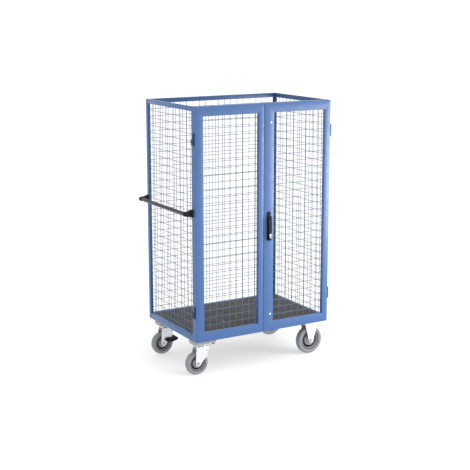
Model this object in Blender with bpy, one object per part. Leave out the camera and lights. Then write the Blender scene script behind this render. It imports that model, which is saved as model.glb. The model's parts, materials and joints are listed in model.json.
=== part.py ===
"""Mesh cabinet trolley: a steel-framed wire cage on four castors, with two hinged mesh doors,
a swing-lever rod lock and a push handle.

Units are metres. +X runs to the right as seen from the doors, +Y to the back and +Z up.
The origin is on the ground, under the middle of the whole trolley.
"""
import math

import bmesh
import bpy
from mathutils import Vector

# ---- Driving dimensions ----
CAGE_WIDTH = 1.042
CAGE_DEPTH = 0.700  # door fronts to rear posts
TOTAL_HEIGHT = 1.800
UNDERSIDE = 0.253  # ground to the underside of the cage

TOUCH = 0.0003  # gap between pieces that rest on each other
TUBE_WALL = 0.002
TUBE_EDGE = 0.002  # outer corner radius of the square tubes
POST_WIDTH = 0.020
FRONT_POST_DEPTH = 0.022
REAR_POST_DEPTH = 0.030
BASE_RAIL_HEIGHT = 0.040
TOP_RAIL_HEIGHT = 0.030
FLOOR_THICKNESS = 0.012
CROSS_RAIL_WIDTH = 0.040

WIRE = 0.004
WALL_PITCH = 0.150  # between wires, in the walls
DOOR_PITCH = 0.085  # and in the doors

DOOR_THICKNESS = 0.026
DOOR_GAP = 0.001
DOOR_SHEET = 0.002
DOOR_CORNER = 0.008
WINDOW_CORNER = 0.002
WINDOW_GAP = 0.0008  # keeps the wire panel's square corners clear of the window's round ones
DOOR_SPLIT = -0.006  # where the doors meet, from the cage's middle
SPLIT_GAP = 0.003
HINGE_STILE_LEFT = 0.061
LOCK_STILE_LEFT = 0.038
LOCK_STILE_RIGHT = 0.076
HINGE_STILE_RIGHT = 0.043
DOOR_TOP_RAIL = 0.063
DOOR_BOTTOM_RAIL = 0.061

HINGE_HEIGHTS = (0.205, 1.342)  # middles of the hinges above the cage's underside
HINGE_LENGTH = 0.080
HINGE_OUT = 0.0065  # axis outside the cage's side
HINGE_BACK = 0.005  # axis behind the door's front
BARREL_RADIUS = 0.0055
PIN_RADIUS = 0.0030
PIN_CLEARANCE = 0.0003
LEAF_THICKNESS = 0.003

LOCK_HEIGHT = 0.728  # middle of the lock above the cage's underside
LOCK_LENGTH = 0.198
LOCK_WIDTH = 0.027
LOCK_CORNER = 0.012
LOCK_PLATE = 0.008
SPINDLE_RISE = 0.064  # spindle above the middle of the lock
SPINDLE_RADIUS = 0.011
LEVER_WIDTH = 0.0215
LEVER_THICKNESS = 0.013
LEVER_PIVOT_OUT = 0.0165  # lift pivot in front of the door
LIFT_PIN_RADIUS = 0.002
LIFT_PIN_HALF = 0.0095
CYLINDER_DROP = 0.055  # middle of the lock to the cylinder's plug
CYLINDER_RADIUS = 0.0085
CYLINDER_WEB = 0.0195  # plug to the round end of the cylinder's web
PLUG_RADIUS = 0.0063
LOCK_REACH = 0.0273  # furthest point of the lock in front of the doors
SHAFT_RADIUS = 0.007
SHAFT_BORE = 0.0075
GEAR_CASE_HALF = 0.024
ROD_RADIUS = 0.004
ROD_TRAVEL = 0.020
ROD_GUIDES = (0.119, 1.420)

HANDLE_HEIGHT = 0.862  # push bar above the cage's underside
HANDLE_OUT = 0.052
HANDLE_RADIUS = 0.0125
HANDLE_WALL = 0.002
BRACKET_HEIGHT = 0.050
BRACKET_DEPTH = 0.024
COLLAR_WALL = 0.003
SOCKET_DEPTH = 0.014

CASTOR_TRACK = 0.512  # between the castors, front to back
SWIVEL_X = -0.424  # swivel axes from the cage's middle
FIXED_X = 0.442
TRAIL = 0.040
PAD_SIZE = (0.165, 0.092, 0.043)
PAD_SHIFT = 0.008  # pad's middle to the right of the swivel axis
SWIVEL_RADIUS = 0.080
FIXED_RADIUS = 0.100
SWIVEL_TYRE = 0.046
FIXED_TYRE = 0.050
AXLE_RADIUS = 0.006
FORK_SHEET = 0.004
WHEEL_CLEARANCE = 0.004  # wheel to the inside of the fork
FORK_TIP = 0.017  # radius of the fork's end round the axle
HEAD_HEIGHT = 0.013

ROUND = 32
SMALL_ROUND = 16
HANDLE_ROUND = 20
HEAD_ROUND = 24
PIN_ROUND = 12
SMOOTH_ANGLE = 40  # degrees; edges sharper than this stay crisp

# ---- Places worked out from the dimensions ----
HANDLE_REACH = HANDLE_OUT + HANDLE_RADIUS + COLLAR_WALL  # furthest point of the handle from the left side
WHEEL_REACH = FIXED_X + FIXED_RADIUS - CAGE_WIDTH / 2  # fixed wheels outside the right side, past the hinges
CAGE_X = (HANDLE_REACH - WHEEL_REACH) / 2  # middle of the cage from the middle of the whole trolley
CAGE_Y = LOCK_REACH / 2
LEFT = CAGE_X - CAGE_WIDTH / 2
RIGHT = CAGE_X + CAGE_WIDTH / 2
DOOR_FRONT = CAGE_Y - CAGE_DEPTH / 2
DOOR_BACK = DOOR_FRONT + DOOR_THICKNESS
FRONT = DOOR_BACK + DOOR_GAP
BACK = CAGE_Y + CAGE_DEPTH / 2
FRONT_INNER = FRONT + FRONT_POST_DEPTH
BACK_INNER = BACK - REAR_POST_DEPTH
LEFT_INNER = LEFT + POST_WIDTH
RIGHT_INNER = RIGHT - POST_WIDTH
FLOOR_TOP = UNDERSIDE + BASE_RAIL_HEIGHT
TOP_RAIL_LOW = TOTAL_HEIGHT - TOP_RAIL_HEIGHT
HINGE_Y = DOOR_FRONT + HINGE_BACK
SPLIT_X = CAGE_X + DOOR_SPLIT
CASTOR_MIDDLE = (FRONT + BACK) / 2


# ---- Materials ----
def make_material(name, colour, roughness, metallic=0.0):
    material = bpy.data.materials.new(name)
    material.use_nodes = True
    shader = material.node_tree.nodes["Principled BSDF"]
    shader.inputs["Base Color"].default_value = (*colour, 1.0)
    shader.inputs["Roughness"].default_value = roughness
    shader.inputs["Metallic"].default_value = metallic
    material.diffuse_color = (*colour, 1.0)
    return material


# ---- Outlines ----
def circle(radius, count, middle=(0.0, 0.0)):
    turns = [2 * math.pi * i / count for i in range(count)]
    return [(middle[0] + radius * math.cos(t), middle[1] + radius * math.sin(t)) for t in turns]


def arc(middle, radius, start, end, count):
    """Points from start to end, in degrees, both included."""
    turns = [math.radians(start + (end - start) * i / count) for i in range(count + 1)]
    return [(middle[0] + radius * math.cos(t), middle[1] + radius * math.sin(t)) for t in turns]


def rounded(low, high, radius, count=2):
    """A rectangle with round corners."""
    points = []
    for x, y, start in (
        (high[0] - radius, high[1] - radius, 0),
        (low[0] + radius, high[1] - radius, 90),
        (low[0] + radius, low[1] + radius, 180),
        (high[0] - radius, low[1] + radius, 270),
    ):
        points += arc((x, y), radius, start, start + 90, count)
    return points


def spread(outline, along, at):
    """A flat outline put at a height along one axis; its two numbers fill the other two axes in order."""
    loop = []
    for u, v in outline:
        point = [u, v]
        point.insert("XYZ".index(along), at)
        loop.append(Vector(point))
    return loop


# ---- Solids ----
def make_object(name, form, material, at=(0, 0, 0), parent=None, smooth=None):
    bmesh.ops.recalc_face_normals(form, faces=form.faces)
    mesh = bpy.data.meshes.new(name)
    form.to_mesh(mesh)
    form.free()
    if smooth is not None:
        mesh.shade_smooth()
        mesh.set_sharp_from_angle(angle=math.radians(smooth))
    if material is not None:
        mesh.materials.append(material)
    piece = bpy.data.objects.new(name, mesh)
    bpy.context.scene.collection.objects.link(piece)
    piece.location = Vector(at)
    if parent is not None:
        piece.parent = parent
        piece.location = Vector(at) - parent.location
    return piece


def loft(name, loops, material, ring=False, **place):
    """A solid through loops of the same count.

    A ring closes on its first loop; otherwise the ends are capped.
    """
    form = bmesh.new()
    rows = [[form.verts.new(point) for point in loop] for loop in loops]
    pairs = list(zip(rows, rows[1:]))
    if ring:
        pairs.append((rows[-1], rows[0]))
    else:
        form.faces.new(reversed(rows[0]))
        form.faces.new(rows[-1])
    for low, high in pairs:
        for i in range(len(low)):
            j = (i + 1) % len(low)
            form.faces.new((low[i], low[j], high[j], high[i]))
    return make_object(name, form, material, **place)


def prism(name, outline, along, start, end, material, **place):
    return loft(name, [spread(outline, along, start), spread(outline, along, end)], material, **place)


def rod(name, radius, count, along, start, end, material, middle=(0.0, 0.0), **place):
    """A plain round bar."""
    outline = circle(radius, count, middle)
    return prism(name, outline, along, start, end, material, smooth=SMOOTH_ANGLE, **place)


def turned(name, profile, along, material, count=ROUND, **place):
    """A ring turned round an axis through (radius, height) points that go once round its section."""
    loops = [spread(circle(radius, count), along, height) for radius, height in profile]
    return loft(name, loops, material, ring=True, smooth=SMOOTH_ANGLE, **place)


def tube(name, low, high, along, material, capped=False, **place):
    """A rectangular tube, open at both ends or capped at its far one."""
    axis = "XYZ".index(along)
    across = [i for i in range(3) if i != axis]
    corners = [[low[i] for i in across], [high[i] for i in across]]
    inside = [[n + TUBE_WALL for n in corners[0]], [n - TUBE_WALL for n in corners[1]]]
    outer = rounded(*corners, TUBE_EDGE)
    inner = rounded(*inside, TUBE_EDGE / 2)
    inner_end = high[axis] - TUBE_WALL if capped else high[axis]
    loops = [
        spread(inner, along, inner_end),
        spread(inner, along, low[axis]),
        spread(outer, along, low[axis]),
        spread(outer, along, high[axis]),
    ]
    return loft(name, loops, material, ring=not capped, **place)


def combine(piece, other, operation):
    """Joins, cuts or trims a piece with another solid that is kept out of the model."""
    step = piece.modifiers.new(operation.lower(), "BOOLEAN")
    step.operation = operation
    step.solver = "EXACT"
    step.object = other
    other.hide_render = True
    other.display_type = "WIRE"


def lattice(name, low, high, along, pitch, material, **place):
    """A welded wire panel: evenly spaced wires both ways, an edge wire all round, one closed solid."""
    axis = "XYZ".index(along)
    across = [i for i in range(3) if i != axis]
    lines = []
    for i in across:
        count = round((high[i] - low[i]) / pitch)
        step = (high[i] - low[i] - WIRE) / count
        lines.append([low[i] + step * (n // 2) + WIRE * (n % 2) for n in range(2 * count + 2)])
    form = bmesh.new()
    corners = {}

    def corner(column, row, side):
        key = (column, row, side)
        if key not in corners:
            point = [lines[0][column], lines[1][row]]
            point.insert(axis, (low, high)[side][axis])
            corners[key] = form.verts.new(point)
        return corners[key]

    columns, rows = len(lines[0]) - 1, len(lines[1]) - 1

    def solid(column, row):
        inside = 0 <= column < columns and 0 <= row < rows
        return inside and not (column % 2 and row % 2)

    for column in range(columns):
        for row in range(rows):
            if not solid(column, row):
                continue
            around = [(column, row), (column + 1, row), (column + 1, row + 1), (column, row + 1)]
            for side in (0, 1):
                form.faces.new([corner(c, r, side) for c, r in around])
            for edge, (dc, dr) in enumerate(((0, -1), (1, 0), (0, 1), (-1, 0))):
                if not solid(column + dc, row + dr):
                    start, end = around[edge], around[(edge + 1) % 4]
                    form.faces.new([corner(*start, 0), corner(*end, 0), corner(*end, 1), corner(*start, 1)])
    return make_object(name, form, material, **place)


def pivot(name, at):
    empty = bpy.data.objects.new(name, None)
    bpy.context.scene.collection.objects.link(empty)
    empty.location = Vector(at)
    return empty


# ---- The cage ----
def build_frame(paint, plywood):
    """Base rails, floor, four posts and top rails."""
    base_low, base_high = UNDERSIDE, FLOOR_TOP
    between_x = (LEFT_INNER + TOUCH, RIGHT_INNER - TOUCH)
    between_y = (FRONT_INNER + TOUCH, BACK_INNER - TOUCH)

    posts = {
        "post_front_left": ((LEFT, FRONT), (LEFT_INNER, FRONT_INNER)),
        "post_front_right": ((RIGHT_INNER, FRONT), (RIGHT, FRONT_INNER)),
        "post_rear_left": ((LEFT, BACK_INNER), (LEFT_INNER, BACK)),
        "post_rear_right": ((RIGHT_INNER, BACK_INNER), (RIGHT, BACK)),
    }
    for name, (low, high) in posts.items():
        tube(name, (*low, UNDERSIDE), (*high, TOTAL_HEIGHT), "Z", paint, capped=True)

    for level, low, high in (("base_rail", base_low, base_high), ("top_rail", TOP_RAIL_LOW, TOTAL_HEIGHT)):
        tube(level + "_front", (between_x[0], FRONT, low), (between_x[1], FRONT_INNER, high), "X", paint)
        tube(level + "_rear", (between_x[0], BACK_INNER, low), (between_x[1], BACK, high), "X", paint)
        tube(level + "_left", (LEFT, between_y[0], low), (LEFT_INNER, between_y[1], high), "Y", paint)
        tube(level + "_right", (RIGHT_INNER, between_y[0], low), (RIGHT, between_y[1], high), "Y", paint)

    cross_top = FLOOR_TOP - FLOOR_THICKNESS - TOUCH
    for name, x in (("cross_rail_left", CAGE_X + SWIVEL_X), ("cross_rail_right", CAGE_X + FIXED_X)):
        low = (x - CROSS_RAIL_WIDTH / 2, between_y[0], UNDERSIDE)
        high = (x + CROSS_RAIL_WIDTH / 2, between_y[1], cross_top)
        tube(name, low, high, "Y", paint)

    floor = rounded((between_x[0], between_y[0]), (between_x[1], between_y[1]), 0.001, 1)
    prism("load_floor", floor, "Z", FLOOR_TOP - FLOOR_THICKNESS, FLOOR_TOP, plywood)


def build_walls(wire):
    """Wire panels in the back and in both ends."""
    low_z, high_z = FLOOR_TOP + TOUCH, TOP_RAIL_LOW - TOUCH
    rear = BACK - REAR_POST_DEPTH / 2
    lattice(
        "rear_mesh",
        (LEFT_INNER + TOUCH, rear - WIRE / 2, low_z),
        (RIGHT_INNER - TOUCH, rear + WIRE / 2, high_z),
        "Y",
        WALL_PITCH,
        wire,
    )
    for name, x in (("left_mesh", LEFT + POST_WIDTH / 2), ("right_mesh", RIGHT - POST_WIDTH / 2)):
        lattice(
            name,
            (x - WIRE / 2, FRONT_INNER + TOUCH, low_z),
            (x + WIRE / 2, BACK_INNER - TOUCH, high_z),
            "X",
            WALL_PITCH,
            wire,
        )


# ---- The doors ----
def door_span(side):
    """Outer edges and window edges of a door, from left to right."""
    if side == "left":
        edges = (LEFT, SPLIT_X - SPLIT_GAP / 2)
        return edges, (edges[0] + HINGE_STILE_LEFT, edges[1] - LOCK_STILE_LEFT)
    edges = (SPLIT_X + SPLIT_GAP / 2, RIGHT)
    return edges, (edges[0] + LOCK_STILE_RIGHT, edges[1] - HINGE_STILE_RIGHT)


def build_door(side, hinge, paint, wire):
    """A folded sheet frame, open at the back, round a window with a wire panel."""
    at = hinge.location
    (outer_left, outer_right), (window_left, window_right) = door_span(side)
    window_low, window_high = UNDERSIDE + DOOR_BOTTOM_RAIL, TOTAL_HEIGHT - DOOR_TOP_RAIL

    def frame_loop(grow_outer, y, from_window):
        if from_window:
            low = (window_left - grow_outer, window_low - grow_outer)
            high = (window_right + grow_outer, window_high + grow_outer)
            radius = WINDOW_CORNER
        else:
            low = (outer_left + grow_outer, UNDERSIDE + grow_outer)
            high = (outer_right - grow_outer, TOTAL_HEIGHT - grow_outer)
            radius = DOOR_CORNER - grow_outer
        return [point - at for point in spread(rounded(low, high, radius), "Y", y)]

    inner_front = DOOR_FRONT + DOOR_SHEET
    loops = [
        frame_loop(DOOR_SHEET / 2, DOOR_FRONT, False),
        frame_loop(0, DOOR_FRONT + DOOR_SHEET / 2, False),
        frame_loop(0, DOOR_BACK, False),
        frame_loop(DOOR_SHEET, DOOR_BACK, False),
        frame_loop(DOOR_SHEET, inner_front, False),
        frame_loop(DOOR_SHEET, inner_front, True),
        frame_loop(DOOR_SHEET, DOOR_BACK, True),
        frame_loop(0, DOOR_BACK, True),
        frame_loop(0, DOOR_FRONT, True),
    ]
    frame = loft(side + "_door_frame", loops, paint, ring=True, at=at, parent=hinge)

    mesh_y = DOOR_BACK - 0.006
    low = Vector((window_left + WINDOW_GAP, mesh_y - WIRE / 2, window_low + WINDOW_GAP)) - at
    high = Vector((window_right - WINDOW_GAP, mesh_y + WIRE / 2, window_high - WINDOW_GAP)) - at
    lattice(side + "_door_mesh", low, high, "Y", DOOR_PITCH, wire, at=at, parent=hinge)
    return frame


def build_hinge(name, door_pivot, height, paint):
    """A lift-off hinge: the lower half with its pin on the post, the upper half on the door's edge."""
    inward = 1 if door_pivot.location.x < CAGE_X else -1
    axis = Vector((door_pivot.location.x, HINGE_Y, UNDERSIDE + height))
    leaf_out = HINGE_OUT - TOUCH - LEAF_THICKNESS
    leaf_in = HINGE_OUT - TOUCH
    half = HINGE_LENGTH / 2

    def leaf_outline(reach):
        across = sorted((inward * leaf_out, inward * leaf_in))
        return [(across[0], 0), (across[1], 0), (across[1], reach), (across[0], reach)]

    post_reach = FRONT_INNER - HINGE_Y - 0.002
    outline = leaf_outline(post_reach)
    lower = rod(name + "_post_half", BARREL_RADIUS, SMALL_ROUND, "Z", -half, -TOUCH / 2, paint, at=axis)
    lower_leaf = prism(name + "_post_leaf", outline, "Z", -half, -TOUCH / 2, paint, at=axis)
    pin = rod(name + "_pin", PIN_RADIUS, PIN_ROUND, "Z", -half / 2, half * 0.8, paint, at=axis)
    combine(lower, lower_leaf, "UNION")
    combine(lower, pin, "UNION")

    door_reach = DOOR_BACK - HINGE_Y - 0.001
    outline = leaf_outline(door_reach)
    place = {"at": axis, "parent": door_pivot}
    bore_radius = PIN_RADIUS + PIN_CLEARANCE
    upper = rod(name + "_door_half", BARREL_RADIUS, SMALL_ROUND, "Z", TOUCH / 2, half, paint, **place)
    upper_leaf = prism(name + "_door_leaf", outline, "Z", TOUCH / 2, half, paint, **place)
    bore = rod(name + "_bore", bore_radius, PIN_ROUND, "Z", -0.001, half * 0.85, None, **place)
    combine(upper, upper_leaf, "UNION")
    combine(upper, bore, "DIFFERENCE")


# ---- The lock ----
def build_lock(door_frame, door_pivot, black, zinc, steel, plastic):
    """Escutcheon, spindle, lift-and-turn lever with a profile cylinder, and two rods in guides."""
    stile_middle = SPLIT_X + SPLIT_GAP / 2 + LOCK_STILE_RIGHT / 2
    middle = Vector((stile_middle, DOOR_FRONT, UNDERSIDE + LOCK_HEIGHT))
    spindle_at = middle + Vector((0, 0, SPINDLE_RISE))
    lift_at = spindle_at + Vector((0, -LEVER_PIVOT_OUT, 0))
    spindle_pivot = pivot("lock_spindle_pivot", spindle_at)
    lift_pivot = pivot("lock_lift_pivot", lift_at)

    # Escutcheon, with a bore for the spindle
    on_door = {"parent": door_pivot}
    half = (LOCK_WIDTH / 2, LOCK_LENGTH / 2)
    edge = 0.002
    full = rounded((-half[0], -half[1]), half, LOCK_CORNER, 5)
    inset = (half[0] - edge, half[1] - edge)
    raised = rounded((-inset[0], -inset[1]), inset, LOCK_CORNER - edge, 5)
    loops = [
        spread(full, "Y", -TOUCH),
        spread(full, "Y", edge - LOCK_PLATE),
        spread(raised, "Y", -LOCK_PLATE),
    ]
    plate = loft("lock_plate", loops, black, at=middle, **on_door)
    bore = rod("lock_plate_bore", SHAFT_BORE, SMALL_ROUND, "Y", -0.02, 0.01, None, at=spindle_at, **on_door)
    combine(plate, bore, "DIFFERENCE")
    combine(door_frame, bore, "DIFFERENCE")

    # Spindle: shaft through the door, a disc on the escutcheon and a lug with the lever's pin
    turning = {"at": spindle_at, "parent": spindle_pivot}
    disc_back = -LOCK_PLATE - TOUCH
    disc_front = -LOCK_PLATE - 0.0022
    spindle = rod("lock_spindle", SHAFT_RADIUS, SMALL_ROUND, "Y", disc_front, 0.016, steel, **turning)
    disc = rod("lock_spindle_disc", SPINDLE_RADIUS, SMALL_ROUND, "Y", disc_front, disc_back, None, **turning)
    lug_half = 0.004
    lug_outline = [(disc_back, -lug_half), (disc_back, lug_half)]
    lug_outline += arc((-LEVER_PIVOT_OUT, 0), lug_half, 90, 270, 6)
    lug = prism("lock_spindle_lug", lug_outline, "X", -lug_half, lug_half, None, **turning)
    pin_middle = (-LEVER_PIVOT_OUT, 0)
    pin_span = (-LIFT_PIN_HALF, LIFT_PIN_HALF)
    pin = rod("lock_lift_pin", LIFT_PIN_RADIUS, PIN_ROUND, "X", *pin_span, None, pin_middle, **turning)
    for extra in (disc, lug, pin):
        combine(spindle, extra, "UNION")

    # Lever: side outline round its pivot, slotted for the lug and bored for the pin
    lifting = {"at": lift_at, "parent": lift_pivot}
    tip = -SPINDLE_RISE - LOCK_LENGTH / 2 + 0.004
    back = LEVER_THICKNESS / 2 - 0.0005
    side_outline = arc((0, 0), back, 0, 180, 8) + [
        (-back - 0.003, -0.05),
        (-back - 0.002, tip + 0.012),
        (-back + 0.001, tip + 0.003),
        (-back + 0.005, tip),
        (back, tip),
    ]
    lever = prism("lock_lever", side_outline, "X", -LEVER_WIDTH / 2, LEVER_WIDTH / 2, black, **lifting)
    shoulder = LEVER_WIDTH / 2
    end = LEVER_WIDTH / 2 - 0.001
    front_outline = [(-shoulder, 0.02), (-shoulder, -0.05), (-end, tip - 0.01)]
    front_outline += [(end, tip - 0.01), (shoulder, -0.05), (shoulder, 0.02)]
    trim = prism("lock_lever_trim", front_outline, "Y", -0.03, 0.03, None, **lifting)
    combine(lever, trim, "INTERSECT")
    slot_outline = rounded((-0.0045, -0.0135), (0.0045, 0.02), 0.001, 1)
    slot = prism("lock_lever_slot", slot_outline, "Y", -0.02, 0.02, None, **lifting)
    bore_radius = LIFT_PIN_RADIUS + TOUCH
    pin_bore = rod("lock_lever_bore", bore_radius, PIN_ROUND, "X", -0.02, 0.02, None, **lifting)
    combine(lever, slot, "DIFFERENCE")
    combine(lever, pin_bore, "DIFFERENCE")

    # Profile cylinder near the lever's lower end: round top and a narrower web below, with a turning plug
    key_z = -SPINDLE_RISE - CYLINDER_DROP
    face_y = -back - 0.003
    seat_y = face_y + 0.006

    def profile(grow):
        top = arc((0, key_z), CYLINDER_RADIUS + grow, -36, 216, 16)
        web = arc((0, key_z - CYLINDER_WEB), 0.005 + grow, 180, 360, 6)
        return top + web

    pocket = prism("lock_pocket", profile(TOUCH), "Y", face_y - 0.01, seat_y + TOUCH, None, **lifting)
    combine(lever, pocket, "DIFFERENCE")
    housing = prism("lock_cylinder", profile(0), "Y", face_y - 0.0015, seat_y, zinc, **lifting)
    plug_bore = rod(
        "lock_plug_bore",
        PLUG_RADIUS + TOUCH,
        SMALL_ROUND,
        "Y",
        face_y - 0.01,
        face_y + 0.003,
        None,
        (0, key_z),
        **lifting,
    )
    combine(housing, plug_bore, "DIFFERENCE")
    plug_at = lift_at + Vector((0, 0, key_z))
    on_plug = {"at": plug_at, "parent": pivot("lock_plug_pivot", plug_at)}
    plug_front = LEVER_PIVOT_OUT - LOCK_REACH
    plug = rod("lock_plug", PLUG_RADIUS, SMALL_ROUND, "Y", plug_front, face_y + 0.0027, steel, **on_plug)
    keyway_outline = rounded((-0.0009, -0.0042), (0.0009, 0.0042), 0.0004, 1)
    keyway = prism("lock_keyway", keyway_outline, "Y", face_y - 0.01, face_y + 0.0012, None, **on_plug)
    combine(plug, keyway, "DIFFERENCE")

    # Rods inside the stile, each in a guide block and out through the door's top or bottom edge
    rod_y = DOOR_FRONT + 0.0145
    passage_radius = ROD_RADIUS + 0.0004
    block = (0.014, 0.0095, 0.012)
    block_outline = rounded((-block[0], -block[1]), (block[0], block[1]), 0.003)
    gear_reach = GEAR_CASE_HALF + ROD_TRAVEL + 0.001
    ends = (
        ("lower", UNDERSIDE, spindle_at.z - gear_reach, ROD_GUIDES[0]),
        ("upper", spindle_at.z + gear_reach, TOTAL_HEIGHT, ROD_GUIDES[1]),
    )
    for place, low, high, guide_height in ends:
        rod_at = (stile_middle, rod_y, low)
        rod("lock_rod_" + place, ROD_RADIUS, PIN_ROUND, "Z", 0, high - low, zinc, at=rod_at)
        guide_y = DOOR_FRONT + DOOR_SHEET + TOUCH + block[1]
        guide_at = (stile_middle, guide_y, UNDERSIDE + guide_height)
        guide = prism(
            "rod_guide_" + place, block_outline, "Z", -block[2], block[2], plastic, at=guide_at, **on_door
        )
        passage = rod(
            "rod_passage_" + place,
            passage_radius,
            PIN_ROUND,
            "Z",
            -0.03,
            high - low + 0.03,
            None,
            at=rod_at,
            **on_door,
        )
        combine(guide, passage, "DIFFERENCE")
        combine(door_frame, passage, "DIFFERENCE")

    # Gear case that the spindle turns in
    case_outline = rounded((-0.016, DOOR_SHEET + TOUCH), (0.016, DOOR_THICKNESS - 0.001), 0.002)
    in_case = {"at": spindle_at, "parent": door_pivot}
    case = prism("lock_case", case_outline, "Z", -GEAR_CASE_HALF, GEAR_CASE_HALF, zinc, **in_case)
    case_bore = rod("lock_case_bore", SHAFT_BORE, SMALL_ROUND, "Y", -0.01, 0.0165, None, **in_case)
    combine(case, case_bore, "DIFFERENCE")


# ---- The push handle ----
def build_handle(black, bar_paint):
    """A round bar between two moulded brackets on the left-hand posts."""
    bar_x, bar_z = LEFT - HANDLE_OUT, UNDERSIDE + HANDLE_HEIGHT
    bracket_half = BRACKET_DEPTH / 2
    collar_radius = HANDLE_RADIUS + COLLAR_WALL
    front_middle = FRONT + 0.002 + bracket_half  # the front bracket stands just behind the post's front
    rear_middle = BACK - REAR_POST_DEPTH / 2
    socket_front = front_middle + bracket_half
    socket_rear = rear_middle - bracket_half

    base = LEFT - bar_x - TOUCH
    half_height = BRACKET_HEIGHT / 2
    outline = [(base, half_height), (base - 0.010, half_height), (base - 0.024, 0.019)]
    outline += [(0.014, collar_radius - 0.001)] + arc((0, 0), collar_radius, 90, 270, 10)
    outline += [(0.012, -collar_radius - 0.001), (base - 0.020, -0.022)]
    outline += [(base - 0.008, -half_height), (base, -half_height)]
    bar_start = socket_front - SOCKET_DEPTH + TOUCH
    bar_end = socket_rear + SOCKET_DEPTH - TOUCH
    for name, y in (("handle_bracket_front", front_middle), ("handle_bracket_rear", rear_middle)):
        at = (bar_x, y, bar_z)
        bracket = prism(name, outline, "Y", -bracket_half, bracket_half, black, at=at)
        start, end = bar_start - TOUCH - y, bar_end + TOUCH - y
        socket = rod(name + "_socket", HANDLE_RADIUS + TOUCH, HANDLE_ROUND, "Y", start, end, None, at=at)
        combine(bracket, socket, "DIFFERENCE")
    bore_radius = HANDLE_RADIUS - HANDLE_WALL
    span = bar_end - bar_start
    profile = [(HANDLE_RADIUS, 0), (HANDLE_RADIUS, span), (bore_radius, span), (bore_radius, 0)]
    turned("handle_bar", profile, "Y", bar_paint, HANDLE_ROUND, at=(bar_x, bar_start, bar_z))


# ---- The castors ----
def build_wheel(name, radius, width, at, parent, rubber, rim):
    """A crowned tyre on a webbed rim, both turned round the axle along Y."""
    half = width / 2
    seat = radius * 0.66
    shoulder = radius * 0.06
    tyre_section = [
        (seat, -half * 0.80),
        (radius * 0.78, -half * 0.86),
        (radius - shoulder * 1.2, -half),
        (radius - shoulder * 0.3, -half * 0.72),
        (radius, -half * 0.30),
        (radius, half * 0.30),
        (radius - shoulder * 0.3, half * 0.72),
        (radius - shoulder * 1.2, half),
        (radius * 0.78, half * 0.86),
        (seat, half * 0.80),
    ]
    turned(name + "_tyre", tyre_section, "Y", rubber, at=at, parent=parent)
    bore = AXLE_RADIUS + 0.0004
    boss = radius * 0.20
    rim_section = [
        (bore, -half * 1.04),
        (boss, -half * 1.04),
        (boss * 1.15, -half * 0.40),
        (seat * 0.84, -half * 0.34),
        (seat - 0.006, -half * 0.80),
        (seat - TOUCH, -half * 0.80),
        (seat - TOUCH, half * 0.80),
        (seat - 0.006, half * 0.80),
        (seat * 0.84, half * 0.34),
        (boss * 1.15, half * 0.40),
        (boss, half * 1.04),
        (bore, half * 1.04),
    ]
    turned(name + "_rim", rim_section, "Y", rim, at=at, parent=parent)


def build_fork(name, silhouette, cheek_inner, axle, at, parent, zinc):
    """A folded fork: an upside-down U along X, trimmed to its side outline, with its axle and nuts."""
    outer = cheek_inner + FORK_SHEET
    reach = 0.30  # well past the silhouette, which trims it
    web = -FORK_SHEET - 0.001
    section = [(-outer, 0), (-outer, -reach), (-cheek_inner, -reach), (-cheek_inner, web)]
    section += [(cheek_inner, web), (cheek_inner, -reach), (outer, -reach), (outer, 0)]
    place = {"at": at, "parent": parent}
    fork = prism(name, section, "X", -0.15, 0.15, zinc, **place)
    trim = prism(name + "_trim", silhouette, "Y", -0.1, 0.1, None, **place)
    combine(fork, trim, "INTERSECT")
    end = outer + 0.003
    axle_bar = rod(name + "_axle", AXLE_RADIUS, SMALL_ROUND, "Y", -end, end, None, axle, **place)
    combine(fork, axle_bar, "UNION")
    hexagon = circle(0.0098, 6, axle)
    for side, start in (("near", -outer - 0.007), ("far", outer - 0.001)):
        nut = prism(name + "_nut_" + side, hexagon, "Y", start, start + 0.008, None, **place)
        combine(fork, nut, "UNION")
    return fork


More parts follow.
